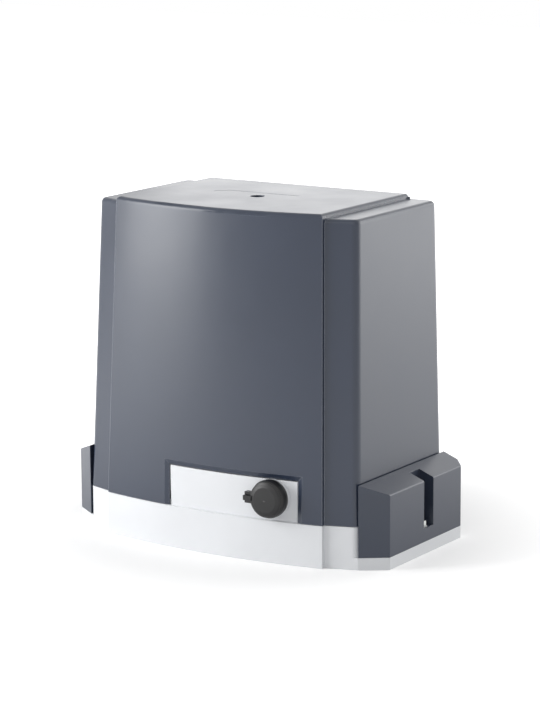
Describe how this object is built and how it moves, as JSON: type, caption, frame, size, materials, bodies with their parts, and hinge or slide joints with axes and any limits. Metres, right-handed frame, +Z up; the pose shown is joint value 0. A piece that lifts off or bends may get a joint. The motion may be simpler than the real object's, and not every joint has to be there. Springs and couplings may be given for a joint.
{
  "type": "sliding gate motor",
  "caption": "Floor-standing sliding gate motor: bowed plastic cover on a cast base, worm drive to a rear rack pinion, keyed manual release and capped anchor feet.",
  "frame": {"origin": "centre of the four anchor slots, on the underside of the base", "axes": "+X along the gate, to the right seen from the release side; +Y towards the gate and its rack; +Z up"},
  "size_m": [0.4, 0.2613, 0.3716],
  "materials": {
    "board_screws": "zinc plated steel",
    "board_tray": "black plastic",
    "cable_grommet": "rubber",
    "cap_hinge_pin": "zinc plated steel",
    "cap_nuts": "zinc plated steel",
    "cap_studs": "zinc plated steel",
    "capacitor_clamp": "zinc plated strip",
    "case_gasket": "cork and rubber",
    "clutch_pin": "ground steel",
    "clutch_sleeve": "hardened steel",
    "clutch_spring": "spring steel",
    "control_board": "glass-fibre board with green mask",
    "controller_chip": "moulded package",
    "cooling_fan": "black plastic",
    "cover": "satin moulded plastic, blue grey",
    "cover_bracket": "bent zinc plated strip",
    "cover_nut": "zinc plated steel",
    "cover_screw": "zinc plated steel",
    "foot_cap_left": "satin moulded plastic, blue grey",
    "foot_cap_right": "satin moulded plastic, blue grey",
    "fuse_holder": "black plastic",
    "gearcase_base": "silver-white painted die casting",
    "gearcase_lid": "machined die casting",
    "lid_screws": "zinc plated steel",
    "limit_arm": "black plastic hub with steel spring finger",
    "limit_switch": "black plastic",
    "motor_bearing": "ball bearing rings and shields",
    "motor_shield_lower": "die casting",
    "motor_shield_upper": "die casting",
    "oil_seal": "nitrile rubber lip seal",
    "output_shaft": "ground steel",
    "pinion": "cut steel",
    "pinion_bolt": "zinc plated steel",
    "pinion_key": "ground steel",
    "pinion_washer": "zinc plated steel",
    "plug_headers": "natural nylon",
    "radio_module": "small board on edge",
    "relays": "blue plastic cases",
    "release_cap": "black plastic",
    "release_housing": "black plastic",
    "release_lock": "nickel plated",
    "release_rod": "ground steel",
    "rotor_core": "steel laminations with cast cage",
    "run_capacitor": "plastic can",
    "shaft_bearing_front": "ball bearing rings and shields",
    "shaft_bearing_rear": "ball bearing rings and shields",
    "stator_core": "varnished steel laminations",
    "stator_windings": "varnished copper wire",
    "terminal_blocks": "green plastic",
    "tie_bolts": "zinc plated steel",
    "transformer_bobbin": "taped windings",
    "transformer_core": "varnished laminations",
    "worm_bearing_lower": "ball bearing rings and shields",
    "worm_bearing_upper": "ball bearing rings and shields",
    "worm_shaft": "ground steel with cut worm",
    "worm_wheel": "cut bronze"
  },
  "bodies": {
    "drive_unit": {"board_screws": "board_screws", "board_tray": "board_tray", "cable_grommet": "cable_grommet", "cap_hinge_pin": "cap_hinge_pin", "cap_nuts": "cap_nuts", "cap_studs": "cap_studs", "capacitor_clamp": "capacitor_clamp", "case_gasket": "case_gasket", "control_board": "control_board", "controller_chip": "controller_chip", "cover_bracket": "cover_bracket", "cover_nut": "cover_nut", "fuse_holder": "fuse_holder", "gearcase_base": "gearcase_base", "gearcase_lid": "gearcase_lid", "lid_screws": "lid_screws", "limit_switch": "limit_switch", "motor_bearing": "motor_bearing", "motor_shield_lower": "motor_shield_lower", "motor_shield_upper": "motor_shield_upper", "oil_seal": "oil_seal", "plug_headers": "plug_headers", "radio_module": "radio_module", "relays": "relays", "release_housing": "release_housing", "run_capacitor": "run_capacitor", "shaft_bearing_front": "shaft_bearing_front", "shaft_bearing_rear": "shaft_bearing_rear", "stator_core": "stator_core", "stator_windings": "stator_windings", "terminal_blocks": "terminal_blocks", "tie_bolts": "tie_bolts", "transformer_bobbin": "transformer_bobbin", "transformer_core": "transformer_core", "worm_bearing_lower": "worm_bearing_lower", "worm_bearing_upper": "worm_bearing_upper"},
    "cover": {"cover": "cover", "cover_screw": "cover_screw"},
    "foot_cap_left": {"foot_cap_left": "foot_cap_left"},
    "foot_cap_right": {"foot_cap_right": "foot_cap_right"},
    "rotor": {"worm_shaft": "worm_shaft", "rotor_core": "rotor_core", "cooling_fan": "cooling_fan"},
    "output": {"output_shaft": "output_shaft", "worm_wheel": "worm_wheel", "pinion": "pinion", "pinion_key": "pinion_key", "pinion_washer": "pinion_washer", "pinion_bolt": "pinion_bolt", "clutch_spring": "clutch_spring"},
    "clutch": {"clutch_sleeve": "clutch_sleeve", "clutch_pin": "clutch_pin"},
    "release_rod": {"release_rod": "release_rod"},
    "release_lock": {"release_lock": "release_lock"},
    "release_cap": {"release_cap": "release_cap"},
    "limit_arm": {"limit_arm": "limit_arm"}
  },
  "joints": [
    {"name": "cover_lift", "type": "slide", "parent": "drive_unit", "child": "cover", "axis": [0, 0, 1], "range_m": [0, 0.38]},
    {"name": "left_cap_lift", "type": "slide", "parent": "drive_unit", "child": "foot_cap_left", "axis": [0, 0, 1], "range_m": [0, 0.12]},
    {"name": "right_cap_lift", "type": "slide", "parent": "drive_unit", "child": "foot_cap_right", "axis": [0, 0, 1], "range_m": [0, 0.12]},
    {"name": "rotor_spin", "type": "hinge", "parent": "drive_unit", "child": "rotor", "pos_m": [0.024, -0.01, 0.2], "axis": [0, 0, 1], "continuous": true},
    {"name": "output_spin", "type": "hinge", "parent": "drive_unit", "child": "output", "pos_m": [0.081, 0, 0.071], "axis": [0, 1, 0], "continuous": true},
    {"name": "clutch_slide", "type": "slide", "parent": "output", "child": "clutch", "axis": [0, 1, 0], "range_m": [0, 0.006], "deforming": ["clutch_spring"]},
    {"name": "rod_push", "type": "slide", "parent": "drive_unit", "child": "release_rod", "axis": [0, 1, 0], "range_m": [0, 0.006]},
    {"name": "lock_turn", "type": "hinge", "parent": "drive_unit", "child": "release_lock", "pos_m": [0.081, -0.13, 0.071], "axis": [0, 1, 0], "range_deg": [0, 90]},
    {"name": "cap_hinge", "type": "hinge", "parent": "drive_unit", "child": "release_cap", "pos_m": [0.0571, -0.1324, 0.071], "axis": [0, 0, -1], "range_deg": [0, 110]},
    {"name": "limit_swing", "type": "hinge", "parent": "drive_unit", "child": "limit_arm", "pos_m": [0.081, 0.066, 0.16], "axis": [0, 0, 1], "range_deg": [-35, 35], "stiffness_Nm_per_rad": 0.15}
  ],
  "couplings": [
    {"joint": "output_spin", "follows": "rotor_spin", "ratio": -0.033333},
    {"joint": "lock_turn", "follows": "rod_push", "rad_per_m": 261.79},
    {"joint": "clutch_slide", "follows": "rod_push", "ratio": 1}
  ]
}
